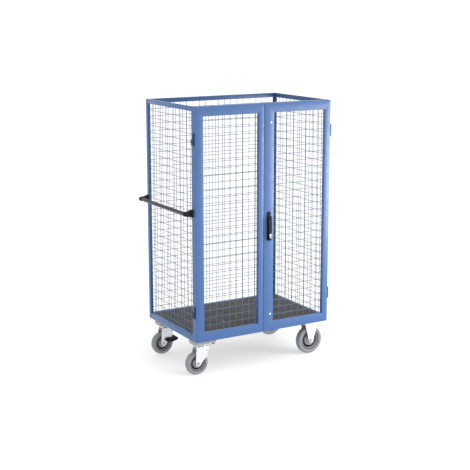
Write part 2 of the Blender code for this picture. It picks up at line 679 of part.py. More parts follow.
def build_swivel_castor(name, y, with_brake, materials):
    """A spacer pad, a head plate, a swivelling fork that trails to the left, and its wheel."""
    zinc, rubber, rim, pad_grey, black = materials
    x = CAGE_X + SWIVEL_X
    pad_bottom = UNDERSIDE - PAD_SIZE[2]
    half_x, half_y = PAD_SIZE[0] / 2, PAD_SIZE[1] / 2
    levels = [(UNDERSIDE - TOUCH, 0.0), (pad_bottom + 0.010, 0.0)]
    levels += [(pad_bottom + 0.003, 0.003), (pad_bottom, 0.009)]
    pad_loops = []
    for z, inset in levels:
        outline = rounded((inset - half_x, inset - half_y), (half_x - inset, half_y - inset), 0.008, 3)
        pad_loops.append(spread(outline, "Z", z - UNDERSIDE))
    loft(name + "_pad", pad_loops, pad_grey, at=(x + PAD_SHIFT, y, UNDERSIDE))

    plate_top = pad_bottom - TOUCH
    plate_outline = rounded((-0.056, -0.036), (0.056, 0.036), 0.008, 3)
    plate = prism(name + "_plate", plate_outline, "Z", -0.004, 0, zinc, at=(x, y, plate_top))
    head_loops = [
        spread(circle(0.030, HEAD_ROUND), "Z", -0.003),
        spread(circle(0.036, HEAD_ROUND), "Z", -0.007),
        spread(circle(0.036, HEAD_ROUND), "Z", -HEAD_HEIGHT),
    ]
    head = loft(name + "_head", head_loops, None, smooth=SMOOTH_ANGLE, at=(x, y, plate_top))
    combine(plate, head, "UNION")

    crown = plate_top - HEAD_HEIGHT - TOUCH
    swivel = pivot(name + "_swivel_pivot", (x, y, crown))
    axle = (-TRAIL, SWIVEL_RADIUS - crown)
    silhouette = [(-0.046, 0.01), (-0.053, -0.020), (-0.058, axle[1] + 0.02)]
    silhouette += arc(axle, FORK_TIP, 165, 320, 8)
    silhouette += [(0.010, axle[1] + 0.026), (0.030, axle[1] + 0.052), (0.037, -0.030), (0.036, 0.01)]
    cheek_inner = SWIVEL_TYRE / 2 + WHEEL_CLEARANCE
    build_fork(name + "_fork", silhouette, cheek_inner, axle, (x, y, crown), swivel, zinc)

    wheel_at = (x - TRAIL, y, SWIVEL_RADIUS)
    wheel_pivot = pivot(name + "_wheel_pivot", wheel_at)
    build_wheel(name, SWIVEL_RADIUS, SWIVEL_TYRE, wheel_at, wheel_pivot, rubber, rim)

    if with_brake:
        build_brake(name, (x, y, crown), axle, cheek_inner + FORK_SHEET, black)


def build_brake(name, at, axle, cheek_outer, black):
    """A foot pedal that straddles the fork and turns on the cheeks above the axle."""
    hinge_at = Vector(at) + Vector((axle[0] + 0.016, 0, axle[1] + 0.034))
    hinge = pivot(name + "_brake_pivot", hinge_at)
    inner = cheek_outer + 0.008
    outer = inner + 0.006
    tread = (0.070, 0.090)
    plan = [(tread[1], -outer), (tread[1], outer), (-0.010, outer), (-0.010, inner)]
    plan += [(tread[0], inner), (tread[0], -inner), (-0.010, -inner), (-0.010, -outer)]
    place = {"at": hinge_at, "parent": hinge}
    pedal = prism(name + "_brake_pedal", plan, "Z", -0.05, 0.05, black, **place)
    side = [(-0.011, -0.010), (0.012, -0.024), (0.050, -0.026), (0.080, -0.018), (0.090, -0.010)]
    side += [(0.087, 0.002), (0.060, 0.005), (0.020, 0.009), (-0.006, 0.008)]
    trim = prism(name + "_brake_trim", side, "Y", -0.1, 0.1, None, **place)
    combine(pedal, trim, "INTERSECT")


def build_fixed_castor(name, y, materials):
    """A fixed fork bolted straight under the base rails, and its larger wheel."""
    zinc, rubber, rim = materials
    x = CAGE_X + FIXED_X
    top = UNDERSIDE - TOUCH
    at = (x, y, top)
    axle = (0, FIXED_RADIUS - top)
    silhouette = [(-0.058, 0.01), (-0.055, -0.010)]
    silhouette += arc(axle, FORK_TIP, 195, 345, 8)
    silhouette += [(0.038, axle[1] + 0.048), (0.056, axle[1] + 0.085), (0.061, -0.020), (0.062, 0.01)]
    cheek_inner = FIXED_TYRE / 2 + WHEEL_CLEARANCE
    fork = build_fork(name + "_fork", silhouette, cheek_inner, axle, at, None, zinc)
    flange_outline = rounded((-0.060, -0.048), (0.062, 0.048), 0.006)
    flange = prism(name + "_flange", flange_outline, "Z", -FORK_SHEET, 0, None, at=at)
    combine(fork, flange, "UNION")
    wheel_at = (x, y, FIXED_RADIUS)
    wheel_pivot = pivot(name + "_wheel_pivot", wheel_at)
    build_wheel(name, FIXED_RADIUS, FIXED_TYRE, wheel_at, wheel_pivot, rubber, rim)


def build_trolley():
    for old in list(bpy.data.objects):
        bpy.data.objects.remove(old)

    paint = make_material("blue_paint", (0.075, 0.175, 0.42), 0.45)
    wire = make_material("wire_paint", (0.22, 0.30, 0.45), 0.5)
    plywood = make_material("floor_board", (0.05, 0.045, 0.04), 0.7)
    zinc = make_material("zinc", (0.72, 0.74, 0.76), 0.35, 1.0)
    steel = make_material("bright_steel", (0.6, 0.6, 0.6), 0.3, 1.0)
    black = make_material("black_plastic", (0.02, 0.02, 0.022), 0.5)
    white = make_material("white_plastic", (0.8, 0.82, 0.84), 0.4)
    bar_paint = make_material("grey_grip", (0.13, 0.14, 0.14), 0.5)
    rubber = make_material("grey_rubber", (0.25, 0.25, 0.26), 0.75)
    rim = make_material("grey_rim", (0.34, 0.35, 0.38), 0.5)
    pad_grey = make_material("grey_pad", (0.45, 0.45, 0.46), 0.6)

    build_frame(paint, plywood)
    build_walls(wire)

    doors = {}
    for side, x in (("left", LEFT - HINGE_OUT), ("right", RIGHT + HINGE_OUT)):
        door_pivot = pivot(side + "_door_pivot", (x, HINGE_Y, UNDERSIDE))
        doors[side] = build_door(side, door_pivot, paint, wire)
        for place, height in zip(("lower", "upper"), HINGE_HEIGHTS):
            build_hinge(side + "_hinge_" + place, door_pivot, height, paint)
    build_lock(doors["right"], doors["right"].parent, black, zinc, steel, white)
    build_handle(black, bar_paint)

    front, rear = CASTOR_MIDDLE - CASTOR_TRACK / 2, CASTOR_MIDDLE + CASTOR_TRACK / 2
    swivel_materials = (zinc, rubber, rim, pad_grey, black)
    build_swivel_castor("castor_front_left", front, False, swivel_materials)
    build_swivel_castor("castor_rear_left", rear, True, swivel_materials)
    build_fixed_castor("castor_front_right", front, (zinc, rubber, rim))
    build_fixed_castor("castor_rear_right", rear, (zinc, rubber, rim))


build_trolley()
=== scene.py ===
"""Looks of the mesh cabinet trolley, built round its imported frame. Metres, +Z up."""
import json
import math

import bmesh
import bpy
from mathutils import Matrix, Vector


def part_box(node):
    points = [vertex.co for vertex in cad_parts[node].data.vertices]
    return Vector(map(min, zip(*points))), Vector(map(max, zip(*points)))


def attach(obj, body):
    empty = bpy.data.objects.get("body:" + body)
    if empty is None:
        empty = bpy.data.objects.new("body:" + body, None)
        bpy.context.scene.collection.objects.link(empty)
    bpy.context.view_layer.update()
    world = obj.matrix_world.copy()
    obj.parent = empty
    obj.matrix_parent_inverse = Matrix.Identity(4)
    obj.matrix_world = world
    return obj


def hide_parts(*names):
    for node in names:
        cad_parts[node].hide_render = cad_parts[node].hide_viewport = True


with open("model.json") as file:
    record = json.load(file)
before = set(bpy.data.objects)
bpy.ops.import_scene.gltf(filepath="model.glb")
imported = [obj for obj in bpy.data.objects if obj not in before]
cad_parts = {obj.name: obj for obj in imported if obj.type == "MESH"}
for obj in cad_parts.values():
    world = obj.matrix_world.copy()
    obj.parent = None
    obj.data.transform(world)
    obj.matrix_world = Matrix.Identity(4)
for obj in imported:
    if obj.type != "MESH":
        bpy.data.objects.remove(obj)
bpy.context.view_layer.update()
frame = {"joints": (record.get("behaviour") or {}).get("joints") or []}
joints = {joint["name"]: joint for joint in frame["joints"]}

GAP = 0.0003  # the clearance that the solids keep to each other
PAST = 0.01  # how far a cutter reaches past what it cuts
SMOOTH_ANGLE = 35  # degrees; flatter edges are shaded smooth
BEVEL_ANGLE = 30  # degrees; flatter edges are not bevelled
WIRE_RADIUS = 0.0017
WIRE_STEP = 0.050  # between level wires
WIRE_SINK = 0.0009  # how far crossing wires are pressed into each other
WIRE_REACH = 0.0015  # how far the wires run into the frame round them
WELD_RADIUS = 0.0016
DOOR_SHEET = 0.002
FORK_SHEET = 0.004
AXLE_RADIUS = 0.006


# ---- Outlines ----
def circle(radius, count, middle=(0.0, 0.0)):
    turns = [2 * math.pi * i / count for i in range(count)]
    return [(middle[0] + radius * math.cos(t), middle[1] + radius * math.sin(t)) for t in turns]


def arc(middle, radius, start, end, count):
    """Points along an arc between two angles in degrees."""
    turns = [math.radians(start + (end - start) * i / count) for i in range(count + 1)]
    return [(middle[0] + radius * math.cos(t), middle[1] + radius * math.sin(t)) for t in turns]


def rounded(low, high, radius, count=5):
    """A rectangle with rounded corners."""
    points = []
    corners = (
        (high[0] - radius, high[1] - radius, 0),
        (low[0] + radius, high[1] - radius, 90),
        (low[0] + radius, low[1] + radius, 180),
        (high[0] - radius, low[1] + radius, 270),
    )
    for x, y, start in corners:
        points += arc((x, y), radius, start, start + 90, count)
    return points


def blunted(outline, radius, count=4):
    """An outline with its corners rounded off."""
    result = []
    total = len(outline)
    for i in range(total):
        before, here, after = (Vector(outline[j % total]) for j in (i - 1, i, i + 1))
        back, ahead = before - here, after - here
        reach = min(radius, back.length * 0.45, ahead.length * 0.45)
        start, end = here + back.normalized() * reach, here + ahead.normalized() * reach
        for step in range(count + 1):
            t = step / count
            point = start * (1 - t) ** 2 + here * 2 * t * (1 - t) + end * t * t
            result.append((point.x, point.y))
    return result


def spread(outline, along, at):
    """A flat outline as points in space, across an axis."""
    index = "XYZ".index(along)
    loop = []
    for u, v in outline:
        point = [u, v]
        point.insert(index, at)
        loop.append(Vector(point))
    return loop


# ---- Shapes: lists of points and of faces ----
def loft(loops, ring=False):
    """A skin over a row of loops, closed into a ring or with its two ends capped."""
    count = len(loops[0])
    points = [point for loop in loops for point in loop]
    faces = []
    rows = len(loops)
    for row in range(rows if ring else rows - 1):
        low, high = row * count, (row + 1) % rows * count
        for i in range(count):
            j = (i + 1) % count
            faces.append((low + i, low + j, high + j, high + i))
    if not ring:
        faces.append(tuple(reversed(range(count))))
        faces.append(tuple(range((rows - 1) * count, rows * count)))
    return points, faces


def prism(outline, along, start, end):
    return loft([spread(outline, along, start), spread(outline, along, end)])


def lathe(profile, along, count=64, ring=True, middle=(0.0, 0.0)):
    """A profile of radii and heights turned about an axis."""
    loops = [spread(circle(radius, count, middle), along, height) for radius, height in profile]
    return loft(loops, ring=ring)


def pin(radius, along, start, end, middle=(0.0, 0.0), chamfer=0.0005, count=24):
    """A round bar with chamfered ends."""
    profile = [(radius - chamfer, start), (radius, start + chamfer), (radius, end - chamfer)]
    profile.append((radius - chamfer, end))
    return lathe(profile, along, count, ring=False, middle=middle)


def merged(*shapes):
    points, faces = [], []
    for shape in shapes:
        base = len(points)
        points += shape[0]
        faces += [tuple(base + i for i in face) for face in shape[1]]
    return points, faces


def soft_box(low, high, radius):
    """A box with all its edges rounded over, for tubes and small blocks."""
    count = 3
    sizes = [high[i] - low[i] for i in range(3)]
    axis = sizes.index(max(sizes))
    across = [i for i in range(3) if i != axis]
    loops = []
    for end in (0, 1):
        for step in range(count + 1) if end == 0 else range(count, -1, -1):
            angle = math.pi / 2 * step / count
            inset = radius * (1 - math.sin(angle))
            depth = radius * (1 - math.cos(angle))
            at = low[axis] + depth if end == 0 else high[axis] - depth
            corner = max(radius - inset, radius * 0.05)
            span = [low[i] + inset for i in across], [high[i] - inset for i in across]
            loops.append(spread(rounded(*span, corner, 4), "XYZ"[axis], at))
    return loft(loops)


def stepped_block(low, high, along, rows, corner, shrink=0.0, count=6):
    """A flat block; each row says how far its outline is drawn in, and at what height."""
    loops = []
    for inset, at in rows:
        span = (low[0] + inset, low[1] + inset), (high[0] - inset, high[1] - inset)
        loops.append(spread(rounded(*span, corner - inset * shrink, count), along, at))
    return loft(loops)


def long_axis(low, high):
    """0 for a box that is longer along X than along Y, or 1."""
    return 0 if high.x - low.x > high.y - low.y else 1


def aside(middle, sign, near, far):
    """Both ends of a stretch on one side of a middle, the lower end first."""
    return sorted((middle + sign * near, middle + sign * far))


def hexagon_head(size, along, start, end, middle):
    """A hexagon nut or bolt head with chamfered corners."""
    thick = end - start
    rows = [(0.94, 0), (1, 0.12), (1, 0.82), (0.9, 1)]
    loops = [spread(circle(size * k, 6, middle), along, start + thick * t) for k, t in rows]
    return loft(loops)


def shade(mesh, angle):
    mesh.shade_smooth()
    mesh.set_sharp_from_angle(angle=math.radians(angle))


def add_bevel(piece, width, segments):
    edge = piece.modifiers.new("edge", "BEVEL")
    edge.width = width
    edge.segments = segments
    edge.limit_method = "ANGLE"
    edge.angle_limit = math.radians(BEVEL_ANGLE)
    edge.harden_normals = True


def make(name, shape, material, body, replaces=(), bevel=0.0, segments=2, smooth=SMOOTH_ANGLE):
    """A finished piece from a shape, riding on a body."""
    form = bmesh.new()
    points = [form.verts.new(point) for point in shape[0]]
    for face in shape[1]:
        form.faces.new([points[i] for i in face])
    bmesh.ops.recalc_face_normals(form, faces=form.faces)
    mesh = bpy.data.meshes.new(name)
    form.to_mesh(mesh)
    form.free()
    shade(mesh, smooth)
    mesh.materials.append(material)
    piece = bpy.data.objects.new(name, mesh)
    bpy.context.scene.collection.objects.link(piece)
    if bevel:
        add_bevel(piece, bevel, segments)
    if body:
        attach(piece, body)
        if replaces:
            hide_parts(*replaces)
    return piece


def cut(piece, shape, operation="DIFFERENCE"):
    """Cuts a piece with a shape, ahead of its bevel, and keeps only the result."""
    cutter = make("cutter", shape, piece.data.materials[0], None)
    bevels = [(edge.width, edge.segments) for edge in piece.modifiers]
    piece.modifiers.clear()
    step = piece.modifiers.new("cut", "BOOLEAN")
    step.operation = operation
    step.solver = "EXACT"
    step.object = cutter
    graph = bpy.context.evaluated_depsgraph_get()
    mesh = bpy.data.meshes.new_from_object(piece.evaluated_get(graph))
    piece.modifiers.clear()
    old = piece.data
    piece.data = mesh
    bpy.data.meshes.remove(old)
    bpy.data.objects.remove(cutter)
    shade(mesh, SMOOTH_ANGLE)
    for width, segments in bevels:
        add_bevel(piece, width, segments)


# ---- Materials ----
class Look:
    """A Principled material with its colour, roughness and bump built from noise."""

    def __init__(self, name, roughness, metallic=0.0, coat=0.0, specular=0.5):
        self.material = bpy.data.materials.new(name)
        self.material.use_nodes = True
        tree = self.material.node_tree
        self.nodes, self.links = tree.nodes, tree.links
        self.shader = self.nodes["Principled BSDF"]
        self.shader.inputs["Metallic"].default_value = metallic
        self.shader.inputs["Roughness"].default_value = roughness
        self.shader.inputs["Coat Weight"].default_value = coat
        self.shader.inputs["Coat Roughness"].default_value = 0.25
        self.shader.inputs["Specular IOR Level"].default_value = specular
        self.place = self.nodes.new("ShaderNodeTexCoord").outputs["Object"]
        self.normal = None

    def stretched(self, scale):
        mapping = self.nodes.new("ShaderNodeMapping")
        mapping.inputs["Scale"].default_value = scale
        self.links.new(self.place, mapping.inputs["Vector"])
        return mapping.outputs["Vector"]

    def noise(self, scale, detail=3.0, rough=0.55, place=None):
        texture = self.nodes.new("ShaderNodeTexNoise")
        texture.inputs["Scale"].default_value = scale
        texture.inputs["Detail"].default_value = detail
        texture.inputs["Roughness"].default_value = rough
        self.links.new(place or self.place, texture.inputs["Vector"])
        return texture.outputs["Fac"]

    def cells(self, scale, feature="F1", place=None):
        texture = self.nodes.new("ShaderNodeTexVoronoi")
        texture.feature = feature
        texture.inputs["Scale"].default_value = scale
        self.links.new(place or self.place, texture.inputs["Vector"])
        return texture.outputs["Distance"]

    def ramp(self, value, stops):
        node = self.nodes.new("ShaderNodeValToRGB")
        ramp = node.color_ramp
        while len(ramp.elements) < len(stops):
            ramp.elements.new(0.5)
        for element, (at, colour) in zip(ramp.elements, stops):
            element.position = at
            element.color = (*colour, 1.0) if isinstance(colour, tuple) else (colour,) * 3 + (1.0,)
        self.links.new(value, node.inputs["Fac"])
        return node.outputs["Color"]

    def mix(self, factor, first, second, blend="MIX"):
        node = self.nodes.new("ShaderNodeMix")
        node.data_type = "RGBA"
        node.blend_type = blend
        for value, number in ((factor, 0), (first, 6), (second, 7)):
            socket = node.inputs[number]
            if isinstance(value, (int, float)):
                socket.default_value = value
            elif isinstance(value, tuple):
                socket.default_value = (*value, 1.0)
            else:
                self.links.new(value, socket)
        return node.outputs[2]

    def edges(self, low, high):
        """White along worn outer edges, broken up by noise."""
        pointed = self.nodes.new("ShaderNodeNewGeometry").outputs["Pointiness"]
        sharp = self.ramp(pointed, [(low, 0.0), (high, 1.0)])
        broken = self.ramp(self.noise(60, 5, 0.7), [(0.50, 0.0), (0.66, 1.0)])
        return self.mix(1.0, sharp, broken, "MULTIPLY")

    def colour(self, value):
        self.links.new(value, self.shader.inputs["Base Color"])

    def roughness(self, value, low, high):
        self.links.new(self.ramp(value, [(0.3, low), (0.7, high)]), self.shader.inputs["Roughness"])

    def bump(self, height, distance, strength=1.0):
        node = self.nodes.new("ShaderNodeBump")
        node.inputs["Strength"].default_value = strength
        node.inputs["Distance"].default_value = distance
        self.links.new(height, node.inputs["Height"])
        if self.normal:
            self.links.new(self.normal, node.inputs["Normal"])
        self.normal = node.outputs["Normal"]
        self.links.new(self.normal, self.shader.inputs["Normal"])


def powder_coat(name, colour, shade, roughness=0.42, coat=0.30, specular=0.5):
    """Powder coat: orange peel, a slow drift of colour, faint rub marks and lighter worn edges."""
    look = Look(name, roughness, coat=coat, specular=specular)
    deep = tuple(c * shade for c in colour)
    base = look.ramp(look.noise(3.2, 4), [(0.32, deep), (0.68, colour)])
    speck = look.ramp(look.noise(900, 2, 0.6), [(0.40, 0.94), (0.62, 1.0)])
    base = look.mix(1.0, base, speck, "MULTIPLY")
    pale = tuple(min(1.0, c * 1.5 + 0.10) for c in colour)
    look.colour(look.mix(look.edges(0.56, 0.66), base, pale))
    look.roughness(look.noise(26, 4, 0.6), roughness - 0.07, roughness + 0.09)
    look.bump(look.noise(520, 2, 0.5), 0.00006, 0.6)
    look.bump(look.noise(70, 2, 0.5), 0.0001, 0.25)
    return look.material


def zinc_plate(name, colour, roughness, metallic=1.0):
    """Bright zinc: a fine spangle, rolling lines and cloudy patches."""
    look = Look(name, roughness, metallic=metallic)
    cloud = look.ramp(look.noise(38, 5, 0.65), [(0.30, tuple(c * 0.86 for c in colour)), (0.70, colour)])
    lines = look.noise(1.0, 3, 0.6, look.stretched((140, 140, 1400)))
    grain = look.ramp(lines, [(0.35, 0.90), (0.65, 1.0)])
    look.colour(look.mix(1.0, cloud, grain, "MULTIPLY"))
    look.roughness(look.noise(90, 4, 0.6), roughness - 0.08, roughness + 0.12)
    look.bump(look.noise(260, 3, 0.6), 0.00005, 0.35)
    return look.material


def moulded(name, colour, roughness, grain=900, depth=0.00006, drift=0.88, specular=0.5):
    """Moulded plastic or rubber: a fine grain, cloudy colour and dusty patches in its roughness."""
    look = Look(name, roughness, specular=specular)
    base = look.ramp(look.noise(24, 4, 0.6), [(0.30, tuple(c * drift for c in colour)), (0.70, colour)])
    speck = look.ramp(look.noise(1400, 2), [(0.38, 0.93), (0.62, 1.0)])
    base = look.mix(1.0, base, speck, "MULTIPLY")
    pale = tuple(min(1.0, c * 1.25 + 0.02) for c in colour)
    look.colour(look.mix(look.edges(0.57, 0.72), base, pale))
    look.roughness(look.noise(48, 4), roughness - 0.06, roughness + 0.1)
    look.bump(look.cells(grain), depth, 0.5)
    return look.material


def film_board(name):
    """Dark film-faced plywood with a pressed anti-slip net."""
    look = Look(name, 0.62)
    base = look.ramp(look.noise(5, 5, 0.6), [(0.3, (0.024, 0.022, 0.022)), (0.7, (0.042, 0.038, 0.037))])
    net = look.cells(170, "DISTANCE_TO_EDGE", look.stretched((1, 1, 0.02)))
    groove = look.ramp(net, [(0.02, 0.78), (0.14, 1.0)])
    scuff = look.ramp(look.noise(9, 6, 0.75), [(0.56, 0.0), (0.74, 0.4)])
    base = look.mix(1.0, base, groove, "MULTIPLY")
    look.colour(look.mix(scuff, base, (0.10, 0.092, 0.082)))
    look.roughness(look.noise(14, 5), 0.52, 0.74)
    look.bump(look.ramp(net, [(0.0, 0.0), (0.16, 1.0)]), 0.00035, 0.8)
    look.bump(look.noise(420, 3), 0.00008, 0.5)
    return look.material


BLUE = powder_coat("blue_powder_coat", (0.032, 0.106, 0.298), 0.93)
# Painted shade: the next two are darker copies of the blue powder coat, laid on faces that look into the
# cage to stand in for the shade there; the darkest also stands in for the shade on the left hinges.
PAINTED_DEEP_SHADE_BLUE = powder_coat("blue_painted_deep_shade", (0.009, 0.032, 0.120), 0.9, 0.5, 0.0, 0.2)
SHADED_BLUE = powder_coat("blue_shaded_faces", (0.026, 0.080, 0.205), 0.9, 0.45, 0.1, 0.35)
BLUE_WIRE = powder_coat("blue_wire_coat", (0.070, 0.122, 0.212), 0.88, 0.48, 0.1)
ZINC = zinc_plate("zinc_plate", (0.86, 0.87, 0.89), 0.36, 0.82)
STEEL = zinc_plate("turned_steel", (0.56, 0.57, 0.59), 0.28)
DARK_STEEL = zinc_plate("dark_steel", (0.035, 0.035, 0.038), 0.45, 0.6)
BLACK = moulded("black_moulding", (0.006, 0.006, 0.007), 0.46, 1100, specular=0.22)
WHITE = moulded("white_moulding", (0.86, 0.87, 0.88), 0.38, 1500, 0.00002, 0.96)
GRIP = moulded("grey_grip_sleeve", (0.007, 0.0075, 0.008), 0.28, 1500, 0.00003, 0.9, 0.42)
TYRE = moulded("grey_tyre", (0.262, 0.266, 0.280), 0.62, 700, 0.00010, 0.88, 0.4)
RIM = moulded("grey_rim", (0.25, 0.26, 0.30), 0.48, 1000, 0.00005, 0.92)
# Painted shade: a near-black for the groove and recess in each wheel, standing in for the shade that falls
# there.
PAINTED_SHADE_BLACK = moulded("painted_groove_shade", (0.010, 0.010, 0.013), 0.7, 900, specular=0.1)
PAD = moulded("grey_pad", (0.375, 0.365, 0.362), 0.55, 900, 0.00007, 0.92)
BOARD = film_board("film_faced_board")

# ---- Places taken from the frame ----
POSTS = ("post_front_left", "post_front_right", "post_rear_left", "post_rear_right")
SIDES = ("front", "rear", "left", "right")
RAILS = [level + side for level in ("base_rail_", "top_rail_") for side in SIDES]
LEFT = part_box("post_front_left")[0].x
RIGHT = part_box("post_front_right")[1].x
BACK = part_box("post_rear_left")[1].y
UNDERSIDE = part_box("base_rail_front")[0].z
MIDDLE_X = (LEFT + RIGHT) / 2
DOOR_FRONT, DOOR_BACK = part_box("left_door_frame")[0].y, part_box("left_door_frame")[1].y
MIDDLE_Y = (DOOR_FRONT + BACK) / 2


# ---- The frame ----
def shade_inner_faces(tube, painted_shade_or_blue):
    """Painted shade: a darker blue on the faces that look into the cage, standing in for the shade inside
    it.
    """
    tube.data.materials.append(painted_shade_or_blue)
    points = [vertex.co for vertex in tube.data.vertices]
    middle = sum(points, Vector((0, 0, 0))) / len(points)
    inward = Vector((MIDDLE_X - middle.x, MIDDLE_Y - middle.y, 0))
    outskirts = (0.4, 0.25)  # a tube nearer to the cage's middle than this looks inward another way
    for axis in (0, 1):
        if abs(inward[axis]) < outskirts[axis]:
            inward[axis] = 0
    for face in tube.data.polygons:
        if max(face.normal.x * inward.x, face.normal.y * inward.y) > 0.2:
            face.material_index = 1


def build_tubes():
    """Posts and rails with rounded corners; rails run into the posts, and their inner faces get painted
    shade.
    """
    overlap = 0.0004
    for name in POSTS + ("cross_rail_left", "cross_rail_right"):
        low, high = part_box(name)
        tube = make(name + "_tube", soft_box(low, high, 0.0025), BLUE, "cage", [name])
        if name in POSTS:
            # Painted shade on the inner faces: deepest on the rear-right post, lighter on the other posts.
            shade_inner_faces(tube, PAINTED_DEEP_SHADE_BLUE if name == "post_rear_right" else SHADED_BLUE)
    for name in RAILS:
        low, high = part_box(name)
        axis = long_axis(low, high)
        low[axis] -= overlap
        high[axis] += overlap
        tube = make(name + "_tube", soft_box(low, high, 0.0022), BLUE, "cage", [name])
        # Painted shade on the rails' inner faces.
        shade_inner_faces(tube, SHADED_BLUE)


def bead(start, end):
    """A rippled weld bead between two points."""
    span = end - start
    count = max(6, int(span.length / WELD_RADIUS))
    direction = span.normalized()
    side = direction.orthogonal().normalized()
    other = direction.cross(side)
    loops = []
    for i in range(count + 1):
        swell = WELD_RADIUS * (0.90 + 0.16 * math.sin(i * 1.9)) * (0.5 if i in (0, count) else 1)
        middle = start + span * i / count
        loops.append([middle + side * swell * u + other * swell * v for u, v in circle(1, 8)])
    return loft(loops)


def build_welds():
    """Beads where the rails meet the posts, a little inside each rail's outline."""
    sunk = 0.0009
    shapes = []
    for name in RAILS:
        low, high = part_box(name)
        axis = long_axis(low, high)
        across = 1 - axis
        near, far = low[across] + sunk, high[across] - sunk
        bottom, top = low.z + sunk, high.z - sunk
        for at in (low[axis], high[axis]):
            corners = []
            for side, z in ((near, bottom), (far, bottom), (far, top), (near, top)):
                point = Vector((0, 0, z))
                point[axis], point[across] = at, side
                corners.append(point)
            shapes += [bead(corners[i - 1], corners[i]) for i in (1, 2, 3, 0)]
    make("weld_beads", merged(*shapes), BLUE, "cage")


def build_floor():
    low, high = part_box("load_floor")
    make("floor_board", soft_box(low, high, 0.0008), BOARD, "cage", ["load_floor"])


# ---- Wire mesh ----
# Each panel's name, node and body, the place of one upright, the uprights' spacing, the first level wire's
# height above the underside, and the side that the uprights lie on.
WIRE_PANELS = (
    ("rear_wires", "rear_mesh", "cage", MIDDLE_X - 0.013, 0.0508, 0.030, -1),
    ("left_wires", "left_mesh", "cage", MIDDLE_Y + 0.223, 0.0488, 0.023, 1),
    ("right_wires", "right_mesh", "cage", MIDDLE_Y + 0.223, 0.0488, 0.025, -1),
    ("left_door_wires", "left_door_mesh", "left_door", MIDDLE_X - 0.409, 0.0497, 0.0045, -1),
    ("right_door_wires", "right_door_mesh", "right_door", MIDDLE_X + 0.132, 0.0510, 0.0045, -1),
)


def wire(start, end, along):
    axis = "XYZ".index(along)
    across = [start[i] for i in range(3) if i != axis]
    return pin(WIRE_RADIUS, along, start[axis], end[axis], across, 0.0004, 10)


def nugget(at, axis):
    """A small swollen spot where two wires are welded across each other."""
    radius = Vector((0.0024, 0.0024, 0.0024))
    radius[axis] = 0.0018
    points = [Vector((0.62 * u, 0.62 * v, z)) for z in (-0.7, 0.7) for u, v in circle(1, 6)]
    faces = [tuple(range(5, -1, -1)), tuple(range(6, 12))]
    faces += [(i, (i + 1) % 6, 6 + (i + 1) % 6, 6 + i) for i in range(6)]
    return [at + Vector([p[i] * radius[i] for i in range(3)]) for p in points], faces


def steps(start, step, low, high, margin):
    """Evenly spaced values on a phase, inside a span."""
    first = math.ceil((low + margin - start) / step)
    last = math.floor((high - margin - start) / step)
    return [start + step * n for n in range(first, last + 1)]


def build_wire_panel(name, node, body, phase, step, rise, outward):
    """A welded panel: uprights on one side, level wires on the other, and a nugget at each crossing."""
    low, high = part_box(node)
    across = long_axis(low, high)
    axis = 1 - across
    depth = (low[axis] + high[axis]) / 2
    gap = (WIRE_RADIUS - WIRE_SINK / 2) * outward
    left, right = low[across] - WIRE_REACH, high[across] + WIRE_REACH
    bottom, top = low.z - WIRE_REACH, high.z + WIRE_REACH
    uprights = steps(phase, step, left, right, 0.006)
    levels = steps(UNDERSIDE + rise, WIRE_STEP, bottom, top, 0.004)
    shapes = []
    for u in uprights:
        point = [0, 0, 0]
        point[axis], point[across] = depth + gap, u
        shapes.append(wire((*point[:2], bottom), (*point[:2], top), "Z"))
    for z in levels:
        start, end = [0, 0, z], [0, 0, z]
        start[axis] = end[axis] = depth - gap
        start[across], end[across] = left, right
        shapes.append(wire(start, end, "XY"[across]))
        for u in uprights:
            spot = Vector((0, 0, z))
            spot[axis], spot[across] = depth, u
            shapes.append(nugget(spot, axis))
    make(name, merged(*shapes), BLUE_WIRE, body, [node])


# ---- The doors ----
def build_door(side):
    """A folded sheet pan round its window: rounded corners and edges, a lip turned in at the back."""
    low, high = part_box(side + "_door_frame")
    window_low, window_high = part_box(side + "_door_mesh")
    slack = Vector((0.0008, 0, 0.0008))
    window_low, window_high = window_low - slack, window_high + slack
    edge, fold, blunt, lip = 0.0012, 0.0006, 0.0005, 0.0075
    inner_front, inner_back = DOOR_FRONT + DOOR_SHEET, DOOR_BACK - DOOR_SHEET

    def outer(grow, y):
        span = (low.x + grow, low.z + grow), (high.x - grow, high.z - grow)
        return spread(rounded(*span, 0.008 - grow, 8), "Y", y)

    def window(grow, y):
        span = (window_low.x - grow, window_low.z - grow), (window_high.x + grow, window_high.z + grow)
        return spread(rounded(*span, 0.002 + grow / 2, 8), "Y", y)

    def rolled(loop):
        turns = [math.pi / 2 * i / 3 for i in range(4)]
        return [loop(edge * (1 - math.sin(t)), DOOR_FRONT + edge * (1 - math.cos(t))) for t in turns]

    loops = rolled(outer)
    loops += [outer(0, DOOR_BACK - fold), outer(fold, DOOR_BACK), outer(lip - blunt, DOOR_BACK)]
    loops += [outer(lip, DOOR_BACK - blunt), outer(lip, inner_back), outer(DOOR_SHEET, inner_back)]
    loops += [outer(DOOR_SHEET, inner_front), window(DOOR_SHEET, inner_front), window(DOOR_SHEET, DOOR_BACK)]
    loops += [window(0, DOOR_BACK)]
    loops += reversed(rolled(window))
    body = side + "_door"
    make(body + "_pan", loft(loops, ring=True), BLUE, body, [side + "_door_frame"])


def build_rod_guides():
    """The guide blocks behind the lock stile, and the white domed caps over their fixings."""
    dome = ((0.0069, -0.0005), (0.0069, 0.0008), (0.0060, 0.0020), (0.0036, 0.0029), (0.0008, 0.0032))
    profile = [(radius, DOOR_FRONT - rise) for radius, rise in dome]
    for place in ("lower", "upper"):
        low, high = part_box("rod_guide_" + place)
        middle = (MIDDLE_X + 0.048, (low.z + high.z) / 2)
        cap = lathe(profile, "Y", 32, ring=False, middle=middle)
        make("guide_cap_" + place, cap, WHITE, "right_door")
        block = soft_box(low, high, 0.0018)
        make("guide_block_" + place, block, WHITE, "right_door", ["rod_guide_" + place])


